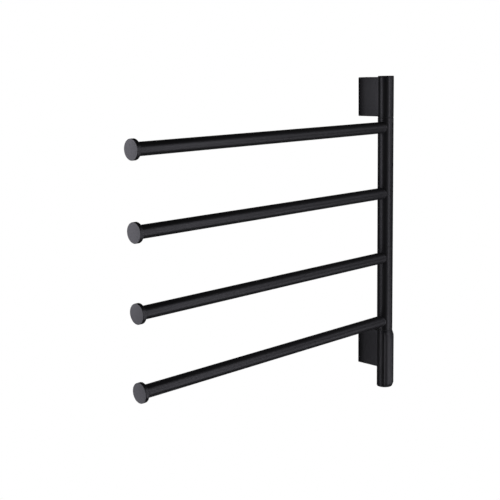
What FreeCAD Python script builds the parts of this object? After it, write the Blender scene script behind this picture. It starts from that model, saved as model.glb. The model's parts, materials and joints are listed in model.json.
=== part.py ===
import FreeCAD, Part
import math
import os

# Swivel heated towel rail, in millimetres, with Z up.
# The wall is the plane Y = 0 and the room lies on its negative side.
# The origin is the middle of the lower wall plate's back face.
# At rest the arms point along negative X, side by side with the wall.

# Post, which stands as three lengths of one tube: fixed, turning, fixed
POST_D = 25.4
POST_WALL = 1.5
AXIS_TO_WALL = 48.0
HOUSING_DROP = 30.6
JOINT_MARGIN = 1.0

# Arms
ARM_COUNT = 4
ARM_D = 18.5
ARM_WALL = 1.2
ARM_REACH = 520.0
ARM_PITCH = 106.4
ARM_ABOVE_JOINT = 15.4
JOINT_ABOVE_ARM = 16.6
WELD_GAP = 0.05

# Caps on the arms
CAP_D = 28.0
CAP_ROUND = 0.5
CAP_BAND = 4.8
CAP_BACK_BEVEL = 0.4
CAP_SPIGOT_L = 14.0
CAP_SPIGOT_WALL = 1.5

# Caps on the post
TOP_CAP_T = 2.0
BOTTOM_CAP_T = 3.0
POST_CAP_ROUND = 1.0
POST_SPIGOT_L = 6.0

# Wall brackets and the plates that they slide over
BRACKET_W = 22.0
BRACKET_H = 62.4
BRACKET_WALL = 2.0
BRACKET_EDGE = 1.2
BRACKET_OFF_WALL = 0.3
PLATE_T = 3.0
PLATE_LIP_T = 2.0
PLATE_CLEAR = 0.15
SCREW_HOLE_D = 5.0
SCREW_SPACING = 36.0
GRUB_D = 4.0
GRUB_L = 5.0
GRUB_RECESS = 0.2
GRUB_KEY = 2.0
GRUB_KEY_DEPTH = 2.0

# Supply: grommet in the lower plate and terminal block in the lower bracket
GROMMET_D = 10.0
GROMMET_BORE = 7.0
GROMMET_LIP = 1.5
GROMMET_BACK = 0.2
TERMINAL_W = 14.0
TERMINAL_L = 15.0
TERMINAL_H = 14.0
TERMINAL_GAP = 2.0
TERMINAL_CLEAR = 4.0
TERMINAL_WAYS = 2
TERMINAL_WAY_D = 4.0
TERMINAL_WAY_DEPTH = 8.0

# Swivel: spindle below, pin above, a flanged bush on each, and a stop pin
SPINDLE_D = 9.0
SPINDLE_BORE = 5.5
PIVOT_PLUG_L = 18.0
BUSH_WALL = 1.5
BUSH_FLANGE_T = 1.0
BUSH_FLANGE_INSET = 0.4
AXIAL_PLAY = 0.1
FIT = 0.05
SWIVEL_RANGE = 180.0
ARM_REST_ANGLE = -90.0
STOP_PIN_D = 2.2
STOP_PIN_REACH = 3.5
STOP_PIN_HOLD = 6.0
STOP_RECESS_DEPTH = 4.0
STOP_SIDE_CLEAR = 0.35
STOP_END_CLEAR = 0.1

# Heaters, their clips and the loom that feeds them
HEATER_D = 8.0
HEATER_SETBACK = 5.0
HEATER_END_GAP = 6.0
HEATER_END_BEVEL = 1.5
CLIP_COUNT = 3
CLIP_T = 4.0
CLIP_INSET = 40.0
CLIP_CLEAR = 0.1
LEAD_HOLE_D = 8.0
LEAD_HOLE_CLEAR = 1.0
LOOM_D = 5.0
BRANCH_D = 3.0
LEAD_D = 4.0
LEAD_CLEAR = 0.4

# Control cover on the front of the housing
COVER_RISE = 2.4
COVER_WALL = 1.3
COVER_LIP = 0.6
COVER_MARGIN = 2.8
COVER_OVERLAP = 2.0
COVER_TOP_BEVEL = 6.0
COVER_BOTTOM_BEVEL = 6.5
COVER_HALF_ANGLE = 56.0
COVER_SIDE_BEVEL_ANGLE = 10.0
COVER_ROUND = 0.5
POCKET_HALF_ANGLE = 34.0
HOOK_W = 8.0
HOOK_T = 1.6
HOOK_CATCH = 0.8
HOOK_DEPTH = 1.2
HOOK_CLEAR = 0.2
HOOK_ROOT = 0.7

# Window in the housing, and the board behind it
WINDOW_W = 14.0
WINDOW_ABOVE_CAP = 17.5
WINDOW_BELOW_CARRIER = 1.0
CARRIER_GAP = 1.5
BOARD_W = 11.0
BOARD_T = 1.6
BOARD_INSET = 6.0
BOARD_CLEAR = 0.15
RELAY_W = 7.0
RELAY_T = 2.2
RELAY_H = 12.0
RELAY_INSET = 8.0
PAD_D = 8.0
PAD_INSET = 12.0
PAD_CLEAR = 0.1
FEED_INSET = 11.0
BOARD_SCREW_D = 2.0
BOARD_SCREW_HEAD_D = 3.0
BOARD_SCREW_HEAD_T = 1.2
BOARD_SCREW_HOLD = 5.0
BOARD_SCREW_EDGE = 1.6
BOARD_SCREW_INSET = 3.0

# Sizes that follow from those above
POST_R = POST_D / 2
BORE_R = POST_R - POST_WALL
ARM_BORE_R = ARM_D / 2 - ARM_WALL
CAP_T = CAP_ROUND + CAP_BAND + CAP_BACK_BEVEL
HOUSING_TOP = BRACKET_H / 2 + JOINT_MARGIN
HOUSING_BOTTOM = -BRACKET_H / 2 - HOUSING_DROP
LOWEST_ARM = HOUSING_TOP + ARM_ABOVE_JOINT
ARM_HEIGHTS = [LOWEST_ARM + i * ARM_PITCH for i in range(ARM_COUNT)]
TOP_ARM = ARM_HEIGHTS[-1]
KNUCKLE_BOTTOM = TOP_ARM + JOINT_ABOVE_ARM
UPPER_BRACKET = KNUCKLE_BOTTOM + JOINT_MARGIN + BRACKET_H / 2
KNUCKLE_TOP = UPPER_BRACKET + BRACKET_H / 2
POST_BOTTOM = HOUSING_TOP + AXIAL_PLAY + BUSH_FLANGE_T
POST_TOP = KNUCKLE_BOTTOM - AXIAL_PLAY - BUSH_FLANGE_T
LEAD_BEND = LEAD_HOLE_D / 2 + LEAD_HOLE_CLEAR
SPINDLE_TOP = LOWEST_ARM - LEAD_BEND
PIVOT_END = TOP_ARM + LEAD_BEND
BUSH_R = SPINDLE_D / 2 + BUSH_WALL
STOP_R = (BUSH_R + BORE_R) / 2
HEATER_START = POST_R + HEATER_SETBACK
HEATER_END = ARM_REACH - CAP_T - CAP_SPIGOT_L - HEATER_END_GAP
COVER_R = POST_R + COVER_RISE
COVER_SEAT_R = POST_R + FIT
COVER_TOP = HOUSING_TOP - COVER_MARGIN
COVER_BOTTOM = HOUSING_BOTTOM - COVER_OVERLAP
POCKET_R = COVER_R - COVER_WALL
CARRIER_BOTTOM = HOUSING_BOTTOM + POST_SPIGOT_L
CARRIER_TOP = HOUSING_TOP - PIVOT_PLUG_L - CARRIER_GAP
WINDOW_BOTTOM = HOUSING_BOTTOM + WINDOW_ABOVE_CAP
WINDOW_TOP = CARRIER_TOP - WINDOW_BELOW_CARRIER
BOARD_FRONT = math.sqrt((BORE_R - BOARD_CLEAR) ** 2 - (BOARD_W / 2) ** 2)
BOARD_BACK = BOARD_FRONT - BOARD_T
BOARD_BOTTOM = WINDOW_BOTTOM + BOARD_INSET
BOARD_TOP = WINDOW_TOP - BOARD_INSET
FEED_HEIGHT = BOARD_TOP - FEED_INSET
TERMINAL_BOTTOM = -BRACKET_H / 2 + BRACKET_WALL
TERMINAL_MIDDLE = TERMINAL_BOTTOM + TERMINAL_H / 2
TERMINAL_FRONT = AXIS_TO_WALL - POST_R - TERMINAL_GAP
PLATE_LIP = TERMINAL_FRONT - TERMINAL_L - TERMINAL_CLEAR
GRUB_FROM_WALL = (PLATE_T + PLATE_LIP) / 2

Vector = FreeCAD.Vector
UP = Vector(0, 0, 1)
DOWN = Vector(0, 0, -1)
OUT = Vector(-1, 0, 0)
TO_WALL = Vector(0, 1, 0)
TO_ROOM = Vector(0, -1, 0)
TOUCH = 1e-4
HEX_SIDES = 6


def on_post(height):
    """Point on the post's axis."""
    return Vector(0, -AXIS_TO_WALL, height)


def round_post(radius, angle, height):
    """Point round the post, at an angle in degrees from the front towards positive X."""
    turn = math.radians(angle)
    return on_post(height) + Vector(radius * math.sin(turn), -radius * math.cos(turn), 0)


def post_rod(radius, bottom, top):
    """Upright rod on the post's axis."""
    return Part.makeCylinder(radius, top - bottom, on_post(bottom), UP)


def post_ring(outer, inner, bottom, top):
    """Upright ring on the post's axis."""
    return post_rod(outer, bottom, top).cut(post_rod(inner, bottom, top))


def arm_rod(radius, near, far, height):
    """Level rod on an arm's axis, between two distances from the post's axis."""
    return Part.makeCylinder(radius, far - near, on_post(height) + OUT * near, OUT)


def block(low, high):
    """Box between two corners."""
    size = high - low
    return Part.makeBox(size.x, size.y, size.z, low)


def front_block(width, near, far, bottom, top):
    """Box in front of the post's axis, centred on X, between two distances from that axis."""
    return block(
        Vector(-width / 2, -AXIS_TO_WALL - far, bottom),
        Vector(width / 2, -AXIS_TO_WALL - near, top),
    )


def hexagon(centre, axis, radius, length):
    """Six-sided bar of a given corner radius."""
    bearings = [2 * math.pi * k / HEX_SIDES for k in range(HEX_SIDES)]
    corners = [Vector(radius * math.cos(bearing), radius * math.sin(bearing), 0) for bearing in bearings]
    bar = Part.Face(Part.makePolygon(corners + corners[:1])).extrude(UP * length)
    bar.Placement = FreeCAD.Placement(centre, FreeCAD.Rotation(UP, axis))
    return bar


def turned(outline, start, sweep):
    """Solid swept by a (radius, height) outline that turns round the post from a start angle."""
    points = [round_post(radius, start, height) for radius, height in outline]
    solid = Part.Face(Part.makePolygon(points + points[:1])).revolve(on_post(0), UP, sweep)
    if solid.Volume < 0:
        solid.reverse()
    return solid


def rims(shape, centre):
    """Circular edges of a shape that are centred on a point."""
    return [edge for edge in shape.Edges if edge.Closed and edge.CenterOfMass.isEqual(centre, TOUCH)]


def round_rim(shape, centre, size):
    """Round the circular edges that are centred on a point."""
    return shape.makeFillet(size, rims(shape, centre))


def bevel_rim(shape, centre, size):
    """Bevel the circular edges that are centred on a point."""
    return shape.makeChamfer(size, rims(shape, centre))


def lead(path, diameter, start, direction):
    """Round lead swept along a path of straight runs and tangent arcs."""
    section = Part.Wire(Part.Circle(start, direction, diameter / 2).toShape())
    return Part.Wire(path).makePipeShell([section], True, False)


def quarter_bend(start, centre, end):
    """Quarter circle between two points round a centre."""
    middle = centre + (start - centre + end - centre).normalize() * start.distanceToPoint(centre)
    return Part.Arc(start, middle, end).toShape()


def post_tube():
    """Turning length of the post, with a lead hole at each arm."""
    tube = post_ring(POST_R, BORE_R, POST_BOTTOM, POST_TOP)
    for height in ARM_HEIGHTS:
        tube = tube.cut(arm_rod(LEAD_HOLE_D / 2, 0, POST_D, height))
    return tube


def upper_knuckle():
    """Fixed length of the post at the upper bracket."""
    return post_ring(POST_R, BORE_R, KNUCKLE_BOTTOM, KNUCKLE_TOP)


def control_housing():
    """Fixed length of the post at the lower bracket, with a window for the board and a lead hole."""
    tube = post_ring(POST_R, BORE_R, HOUSING_BOTTOM, HOUSING_TOP)
    window = front_block(WINDOW_W, 0, POST_D, WINDOW_BOTTOM, WINDOW_TOP)
    hole = Part.makeCylinder(LEAD_D / 2 + LEAD_CLEAR, POST_D, on_post(TERMINAL_MIDDLE), TO_WALL)
    return tube.cut(window).cut(hole)


def arm(height):
    """Arm tube, coped to sit on the post."""
    end = ARM_REACH - CAP_T
    tube = arm_rod(ARM_D / 2, 0, end, height).cut(arm_rod(ARM_BORE_R, 0, end, height))
    return tube.cut(post_rod(POST_R + WELD_GAP, height - ARM_D, height + ARM_D))


def arm_cap(height):
    """Thick disc with lightly broken edges and a hollow spigot that plugs the arm."""
    seat = ARM_REACH - CAP_T
    head = arm_rod(CAP_D / 2, seat, ARM_REACH, height)
    head = round_rim(head, on_post(height) + OUT * ARM_REACH, CAP_ROUND)
    head = bevel_rim(head, on_post(height) + OUT * seat, CAP_BACK_BEVEL)
    radius = ARM_BORE_R - FIT
    spigot = arm_rod(radius, seat - CAP_SPIGOT_L, seat + CAP_T / 2, height)
    hollow = arm_rod(radius - CAP_SPIGOT_WALL, seat - CAP_SPIGOT_L, seat, height)
    return head.fuse(spigot).cut(hollow).removeSplitter()


def post_cap(seat, direction, thickness):
    """Flat cap, flush with the post, with a spigot that plugs the tube."""
    head = Part.makeCylinder(POST_R, thickness, seat, direction)
    head = round_rim(head, seat + direction * thickness, POST_CAP_ROUND)
    spigot = Part.makeCylinder(BORE_R - FIT, POST_SPIGOT_L, seat - direction * POST_SPIGOT_L, direction)
    return head.fuse(spigot).removeSplitter()


def bracket(middle):
    """Rectangular sleeve between wall and post, coped to the post and tapped for its grub screw."""
    bottom = middle - BRACKET_H / 2
    top = middle + BRACKET_H / 2
    half = BRACKET_W / 2
    sleeve = block(Vector(-half, -AXIS_TO_WALL, bottom), Vector(half, -BRACKET_OFF_WALL, top))
    along = [edge for edge in sleeve.Edges if abs(edge.tangentAt(edge.FirstParameter).y) > 1 - TOUCH]
    sleeve = sleeve.makeFillet(BRACKET_EDGE, along)
    inside = half - BRACKET_WALL
    hollow = block(
        Vector(-inside, -AXIS_TO_WALL, bottom + BRACKET_WALL),
        Vector(inside, 0, top - BRACKET_WALL),
    )
    sleeve = sleeve.cut(hollow).cut(post_rod(POST_R + WELD_GAP, bottom, top))
    return sleeve.cut(grub_hole(middle))


def grub_hole(middle):
    """Hole for a bracket's grub screw, through the sleeve's underside and the plate's lower lip."""
    foot = Vector(0, -GRUB_FROM_WALL, middle - BRACKET_H / 2)
    return Part.makeCylinder(GRUB_D / 2 + FIT, GRUB_L + GRUB_RECESS, foot, UP)


def grub_screw(middle):
    """Grub screw with a hexagon socket in its lower end."""
    foot = Vector(0, -GRUB_FROM_WALL, middle - BRACKET_H / 2 + GRUB_RECESS)
    body = Part.makeCylinder(GRUB_D / 2, GRUB_L, foot, UP)
    return body.cut(hexagon(foot, UP, GRUB_KEY / 2 / math.cos(math.pi / HEX_SIDES), GRUB_KEY_DEPTH))


def wall_plate(middle):
    """Channel-shaped plate with two screw holes, which the bracket slides over."""
    half_w = BRACKET_W / 2 - BRACKET_WALL - PLATE_CLEAR
    half_h = BRACKET_H / 2 - BRACKET_WALL - PLATE_CLEAR
    plate = block(Vector(-half_w, -PLATE_LIP, middle - half_h), Vector(half_w, 0, middle + half_h))
    inner_h = half_h - PLATE_LIP_T
    channel = block(
        Vector(-half_w, -PLATE_LIP, middle - inner_h),
        Vector(half_w, -PLATE_T, middle + inner_h),
    )
    plate = plate.cut(channel).cut(grub_hole(middle))
    for side in (-1, 1):
        spot = Vector(0, 0, middle + side * SCREW_SPACING / 2)
        plate = plate.cut(Part.makeCylinder(SCREW_HOLE_D / 2, PLATE_T, spot, TO_ROOM))
    return plate


def lower_wall_plate():
    """Lower plate, which also has the hole where the supply cable comes out of the wall."""
    return wall_plate(0).cut(Part.makeCylinder(GROMMET_D / 2, PLATE_T, Vector(0, 0, 0), TO_ROOM))


def cable_grommet():
    """Soft bush in the lower plate's cable hole, with a lip on the room side."""
    back = Vector(0, -GROMMET_BACK, 0)
    front = PLATE_T + GROMMET_LIP
    neck = Part.makeCylinder(GROMMET_D / 2 - FIT, front - GROMMET_BACK, back, TO_ROOM)
    lip = Part.makeCylinder(GROMMET_D / 2 + GROMMET_LIP, GROMMET_LIP, Vector(0, -PLATE_T, 0), TO_ROOM)
    bore = Part.makeCylinder(GROMMET_BORE / 2, front, Vector(0, 0, 0), TO_ROOM)
    return neck.fuse(lip).cut(bore)


def terminal_block():
    """Two-way terminal block on the floor of the lower bracket, with its cable entries towards the wall."""
    low = Vector(-TERMINAL_W / 2, -TERMINAL_FRONT, TERMINAL_BOTTOM)
    body = block(low, low + Vector(TERMINAL_W, TERMINAL_L, TERMINAL_H))
    for way in range(TERMINAL_WAYS):
        across = ((way + 0.5) / TERMINAL_WAYS - 0.5) * TERMINAL_W
        entry = Vector(across, TERMINAL_L - TERMINAL_FRONT, TERMINAL_MIDDLE)
        screw = Vector(across, TERMINAL_L / 2 - TERMINAL_FRONT, TERMINAL_BOTTOM + TERMINAL_H)
        body = body.cut(Part.makeCylinder(TERMINAL_WAY_D / 2, TERMINAL_WAY_DEPTH, entry, TO_ROOM))
        body = body.cut(Part.makeCylinder(TERMINAL_WAY_D / 2, TERMINAL_H / 2, screw, DOWN))
    return body


def supply_lead():
    """Straight lead from the terminal block to the back of the board."""
    start = Vector(0, -TERMINAL_FRONT, TERMINAL_MIDDLE)
    length = AXIS_TO_WALL + BOARD_BACK - TERMINAL_FRONT
    return Part.makeCylinder(LEAD_D / 2, length, start, TO_ROOM)


def feed_lead():
    """Lead from the back of the board up through the hollow spindle."""
    start = on_post(FEED_HEIGHT) + TO_ROOM * BOARD_BACK
    turn = on_post(FEED_HEIGHT + BOARD_BACK)
    bend = quarter_bend(start, turn + TO_ROOM * BOARD_BACK, turn)
    rise = Part.LineSegment(turn, on_post(SPINDLE_TOP)).toShape()
    return lead([bend, rise], LEAD_D, start, TO_WALL)


def stop_recess():
    """Part-round recess in the spindle's plug, whose ends stop the pin."""
    inner = STOP_R - STOP_PIN_D / 2 - STOP_SIDE_CLEAR
    floor = HOUSING_TOP - STOP_RECESS_DEPTH
    outline = [(inner, floor), (POST_R, floor), (POST_R, HOUSING_TOP), (inner, HOUSING_TOP)]
    margin = math.degrees(math.asin((STOP_PIN_D / 2 + STOP_END_CLEAR) / STOP_R))
    return turned(outline, ARM_REST_ANGLE - margin, SWIVEL_RANGE + 2 * margin)


def lower_spindle():
    """Hollow spindle on a plug in the housing's upper end."""
    foot = HOUSING_TOP - PIVOT_PLUG_L
    plug = post_rod(BORE_R - FIT, foot, HOUSING_TOP).cut(stop_recess())
    shank = post_rod(SPINDLE_D / 2, foot, SPINDLE_TOP)
    return plug.fuse(shank).cut(post_rod(SPINDLE_BORE / 2, foot, SPINDLE_TOP)).removeSplitter()


def upper_pivot_pin():
    """Solid pin under a plug in the knuckle's lower end."""
    head = KNUCKLE_BOTTOM + PIVOT_PLUG_L
    plug = post_rod(BORE_R - FIT, KNUCKLE_BOTTOM, head)
    return plug.fuse(post_rod(SPINDLE_D / 2, PIVOT_END, head)).removeSplitter()


def bush(bottom, top, flange_bottom):
    """Flanged bush that turns on a pivot, with its flange between two lengths of the post."""
    bore = SPINDLE_D / 2 + FIT
    sleeve = post_ring(BUSH_R, bore, bottom, top)
    flange = post_ring(POST_R - BUSH_FLANGE_INSET, bore, flange_bottom, flange_bottom + BUSH_FLANGE_T)
    return sleeve.fuse(flange).removeSplitter()


def lower_bush():
    """Bush on the spindle, with a hole for the stop pin in its flange."""
    return bush(POST_BOTTOM - BUSH_FLANGE_T, SPINDLE_TOP, POST_BOTTOM - BUSH_FLANGE_T).cut(stop_pin_hole())


def upper_bush():
    """Bush on the upper pivot pin."""
    return bush(PIVOT_END, POST_TOP + BUSH_FLANGE_T, POST_TOP)


def stop_pin_rod(radius):
    """Upright rod at the stop pin's place."""
    foot = round_post(STOP_R, ARM_REST_ANGLE, HOUSING_TOP - STOP_PIN_REACH)
    return Part.makeCylinder(radius, STOP_PIN_REACH + POST_BOTTOM - HOUSING_TOP + STOP_PIN_HOLD, foot, UP)


def stop_pin():
    """Pin under the turning post that runs in the spindle's recess."""
    return stop_pin_rod(STOP_PIN_D / 2)


def stop_pin_hole():
    """Hole that holds the stop pin."""
    return stop_pin_rod(STOP_PIN_D / 2 + FIT)


def post_lower_plug():
    """Ring in the turning post's lower end that holds the bush and the stop pin."""
    return post_ring(BORE_R - FIT, BUSH_R + FIT, POST_BOTTOM, SPINDLE_TOP).cut(stop_pin_hole())


def post_upper_plug():
    """Ring in the turning post's upper end that holds the bush."""
    return post_ring(BORE_R - FIT, BUSH_R + FIT, PIVOT_END, POST_TOP)


def heater(height):
    """Heater rod in an arm, bevelled at its far end."""
    rod = arm_rod(HEATER_D / 2, HEATER_START, HEATER_END, height)
    return bevel_rim(rod, on_post(height) + OUT * HEATER_END, HEATER_END_BEVEL)


def heater_clips():
    """Six-sided clips that hold the heaters in the middle of the arms."""
    step = (HEATER_END - HEATER_START - 2 * CLIP_INSET - CLIP_T) / (CLIP_COUNT - 1)
    clips = []
    for height in ARM_HEIGHTS:
        bore = arm_rod(HEATER_D / 2 + FIT, HEATER_START, HEATER_END, height)
        for i in range(CLIP_COUNT):
            spot = on_post(height) + OUT * (HEATER_START + CLIP_INSET + i * step)
            clips.append(hexagon(spot, OUT, ARM_BORE_R - CLIP_CLEAR, CLIP_T).cut(bore))
    return Part.makeCompound(clips)


def loom_branch(height):
    """Branch of the loom that turns from the post's axis to an arm's heater."""
    start = on_post(height - LEAD_BEND)
    turn = on_post(height) + OUT * LEAD_BEND
    bend = quarter_bend(start, start + OUT * LEAD_BEND, turn)
    run = Part.LineSegment(turn, on_post(height) + OUT * HEATER_START).toShape()
    return lead([bend, run], BRANCH_D, start, UP)


def heater_loom():
    """Loom in the turning post: a sleeve on the axis with a branch to each heater."""
    loom = post_rod(LOOM_D / 2, SPINDLE_TOP, TOP_ARM)
    for height in ARM_HEIGHTS:
        loom = loom.fuse(loom_branch(height))
    return loom.removeSplitter()


def cover_side_cut(side):
    """Wedge that bevels one long edge of the control cover."""
    low_edge = round_post(COVER_SEAT_R + COVER_LIP, side * COVER_HALF_ANGLE, COVER_BOTTOM)
    high_edge = round_post(COVER_R, side * (COVER_HALF_ANGLE - COVER_SIDE_BEVEL_ANGLE), COVER_BOTTOM)
    slope = (high_edge - low_edge).normalize()
    away = UP.cross(slope) * side
    corners = [low_edge - slope * POST_D, high_edge + slope * POST_D]
    corners += [corner + away * POST_D for corner in reversed(corners)]
    return Part.Face(Part.makePolygon(corners + corners[:1])).extrude(UP * (COVER_TOP - COVER_BOTTOM))


def cover_shell():
    """Raised pad that follows the post, bevelled all round, with the edges of its face rounded."""
    brim = COVER_SEAT_R + COVER_LIP
    outline = [
        (COVER_SEAT_R, COVER_BOTTOM),
        (brim, COVER_BOTTOM),
        (COVER_R, COVER_BOTTOM + COVER_BOTTOM_BEVEL),
        (COVER_R, COVER_TOP - COVER_TOP_BEVEL),
        (brim, COVER_TOP),
        (COVER_SEAT_R, COVER_TOP),
    ]
    shell = turned(outline, -COVER_HALF_ANGLE, 2 * COVER_HALF_ANGLE)
    for side in (-1, 1):
        shell = shell.cut(cover_side_cut(side))
    front = round_post(COVER_R, 0, 0)
    face = max(shell.Faces, key=lambda f: f.Area if f.isInside(front, TOUCH, True) else 0)
    return shell.makeFillet(COVER_ROUND, face.Edges)


def cover_hook(end, direction):
    """Hook on the cover that reaches through the window and catches behind one of its ends."""
    catch_front = math.sqrt(BORE_R ** 2 - (HOOK_W / 2) ** 2) - HOOK_CLEAR
    stem_end = end - direction * HOOK_CLEAR
    stem_start = stem_end - direction * HOOK_T
    low, high = sorted((stem_start, stem_end))
    stem = front_block(HOOK_W, catch_front - HOOK_DEPTH, POCKET_R + HOOK_ROOT, low, high)
    low, high = sorted((stem_start, end + direction * HOOK_CATCH))
    return stem.fuse(front_block(HOOK_W, catch_front - HOOK_DEPTH, catch_front, low, high)).removeSplitter()


def control_cover():
    """Touch cover: a thin raised shell, hollow over the window, with a hook at each end of it."""
    outline = [
        (BORE_R, WINDOW_BOTTOM),
        (POCKET_R, WINDOW_BOTTOM),
        (POCKET_R, WINDOW_TOP),
        (BORE_R, WINDOW_TOP),
    ]
    cover = cover_shell().cut(turned(outline, -POCKET_HALF_ANGLE, 2 * POCKET_HALF_ANGLE))
    for end, direction in ((WINDOW_BOTTOM, -1), (WINDOW_TOP, 1)):
        cover = cover.fuse(cover_hook(end, direction))
    return cover


def board_screw_spots():
    """Places of the board's two screws, at opposite corners, on the face of the board."""
    across = BOARD_W / 2 - BOARD_SCREW_EDGE
    face = TO_ROOM * BOARD_FRONT
    return [
        on_post(BOARD_TOP - BOARD_SCREW_INSET) + face + Vector(across, 0, 0),
        on_post(BOARD_BOTTOM + BOARD_SCREW_INSET) + face - Vector(across, 0, 0),
    ]


def board_screw_holes():
    """Holes for the board's screws, through the board and into its carrier."""
    radius = BOARD_SCREW_D / 2 + FIT
    depth = BOARD_T + BOARD_SCREW_HOLD
    return [Part.makeCylinder(radius, depth, spot, TO_WALL) for spot in board_screw_spots()]


def board_screws():
    """The two screws that hold the board on its carrier."""
    screws = []
    for spot in board_screw_spots():
        shank = Part.makeCylinder(BOARD_SCREW_D / 2, BOARD_T + BOARD_SCREW_HOLD, spot, TO_WALL)
        head = Part.makeCylinder(BOARD_SCREW_HEAD_D / 2, BOARD_SCREW_HEAD_T, spot, TO_ROOM)
        screws.append(shank.fuse(head))
    return Part.makeCompound(screws)


def control_board():
    """Narrow circuit board with its relay on the front."""
    board = front_block(BOARD_W, BOARD_BACK, BOARD_FRONT, BOARD_BOTTOM, BOARD_TOP)
    relay_bottom = BOARD_BOTTOM + RELAY_INSET
    relay = front_block(RELAY_W, BOARD_FRONT, BOARD_FRONT + RELAY_T, relay_bottom, relay_bottom + RELAY_H)
    return board.fuse(relay).cut(board_screw_holes())


def touch_pad():
    """Soft pad between the board and the inside of the cover."""
    front = math.sqrt(POCKET_R ** 2 - (PAD_D / 2) ** 2) - PAD_CLEAR
    spot = on_post(BOARD_TOP - PAD_INSET) + TO_ROOM * BOARD_FRONT
    return Part.makeCylinder(PAD_D / 2, front - BOARD_FRONT, spot, TO_ROOM)


def board_carrier():
    """Plastic core in the housing, flat at the front for the board, with ways for the two leads."""
    body = post_rod(BORE_R - FIT, CARRIER_BOTTOM, CARRIER_TOP)
    body = body.cut(front_block(POST_D, BOARD_BACK, POST_D, CARRIER_BOTTOM, CARRIER_TOP))
    way = LEAD_D / 2 + LEAD_CLEAR
    supply_way = Part.makeCylinder(way, 2 * POST_D, on_post(TERMINAL_MIDDLE) + TO_WALL * POST_D, TO_ROOM)
    feed_way = front_block(2 * way, -way, POST_D, FEED_HEIGHT - way, CARRIER_TOP)
    return body.cut(supply_way).cut(feed_way).cut(board_screw_holes())


NODES = {
    "upper_wall_plate": wall_plate(UPPER_BRACKET),
    "lower_wall_plate": lower_wall_plate(),
    "upper_bracket": bracket(UPPER_BRACKET),
    "lower_bracket": bracket(0),
    "grub_screws": Part.makeCompound([grub_screw(UPPER_BRACKET), grub_screw(0)]),
    "upper_knuckle": upper_knuckle(),
    "control_housing": control_housing(),
    "top_cap": post_cap(on_post(KNUCKLE_TOP), UP, TOP_CAP_T),
    "bottom_cap": post_cap(on_post(HOUSING_BOTTOM), DOWN, BOTTOM_CAP_T),
    "upper_pivot_pin": upper_pivot_pin(),
    "lower_spindle": lower_spindle(),
    "control_cover": control_cover(),
    "board_carrier": board_carrier(),
    "control_board": control_board(),
    "board_screws": board_screws(),
    "touch_pad": touch_pad(),
    "cable_grommet": cable_grommet(),
    "terminal_block": terminal_block(),
    "supply_lead": supply_lead(),
    "feed_lead": feed_lead(),
    "post_tube": post_tube(),
    "post_lower_plug": post_lower_plug(),
    "post_upper_plug": post_upper_plug(),
    "lower_bush": lower_bush(),
    "upper_bush": upper_bush(),
    "stop_pin": stop_pin(),
    "heater_clips": heater_clips(),
    "heater_loom": heater_loom(),
}
for number, height in enumerate(ARM_HEIGHTS, start=1):
    NODES[f"arm_{number}"] = arm(height)
    NODES[f"arm_cap_{number}"] = arm_cap(height)
    NODES[f"heater_{number}"] = heater(height)

os.makedirs("parts", exist_ok=True)
for name, shape in NODES.items():
    shape.exportStep(f"parts/{name}.step")
    print(f"{name}: {len(shape.Solids)} solid(s), {shape.Volume:.1f} mm3")
print(f"bend radius of the feed lead {BOARD_BACK:.2f} mm, of the loom's branches {LEAD_BEND:.2f} mm")
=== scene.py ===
import json
import logging
import math
from abc import ABC, abstractmethod
from dataclasses import dataclass, field
from enum import Enum, IntEnum
from functools import partial
from typing import Callable, Iterable, Sequence

import bmesh
import bpy
from mathutils import Matrix, Vector


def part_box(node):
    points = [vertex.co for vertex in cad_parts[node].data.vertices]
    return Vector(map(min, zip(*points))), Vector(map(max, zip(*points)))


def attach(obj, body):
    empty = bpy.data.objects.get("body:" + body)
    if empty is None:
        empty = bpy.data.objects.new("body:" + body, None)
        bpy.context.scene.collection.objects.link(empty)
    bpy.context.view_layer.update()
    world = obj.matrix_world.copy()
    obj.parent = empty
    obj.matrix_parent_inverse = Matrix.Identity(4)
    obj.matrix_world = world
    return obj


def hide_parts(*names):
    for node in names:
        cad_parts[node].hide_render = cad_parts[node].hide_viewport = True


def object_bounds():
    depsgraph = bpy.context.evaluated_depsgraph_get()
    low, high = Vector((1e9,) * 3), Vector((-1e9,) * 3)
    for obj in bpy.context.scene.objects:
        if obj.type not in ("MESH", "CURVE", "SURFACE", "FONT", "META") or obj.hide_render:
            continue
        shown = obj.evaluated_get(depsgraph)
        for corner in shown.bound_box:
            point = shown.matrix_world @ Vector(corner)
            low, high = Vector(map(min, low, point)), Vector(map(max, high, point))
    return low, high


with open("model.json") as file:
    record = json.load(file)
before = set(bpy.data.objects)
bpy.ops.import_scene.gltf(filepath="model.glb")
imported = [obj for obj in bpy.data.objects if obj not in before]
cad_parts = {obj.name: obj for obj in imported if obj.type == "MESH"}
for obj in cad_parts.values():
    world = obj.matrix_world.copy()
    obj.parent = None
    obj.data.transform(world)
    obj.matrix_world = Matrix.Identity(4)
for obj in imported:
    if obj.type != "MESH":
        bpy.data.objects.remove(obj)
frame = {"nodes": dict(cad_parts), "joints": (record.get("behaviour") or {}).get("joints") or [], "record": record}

LOG = logging.getLogger("towel_rail")
CAD_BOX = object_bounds()

Colour = tuple[float, float, float]
Spot = tuple[float, float, float]
Pair = tuple[float, float]
Reach = Callable[[float], float]
Socket = bpy.types.NodeSocket

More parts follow.
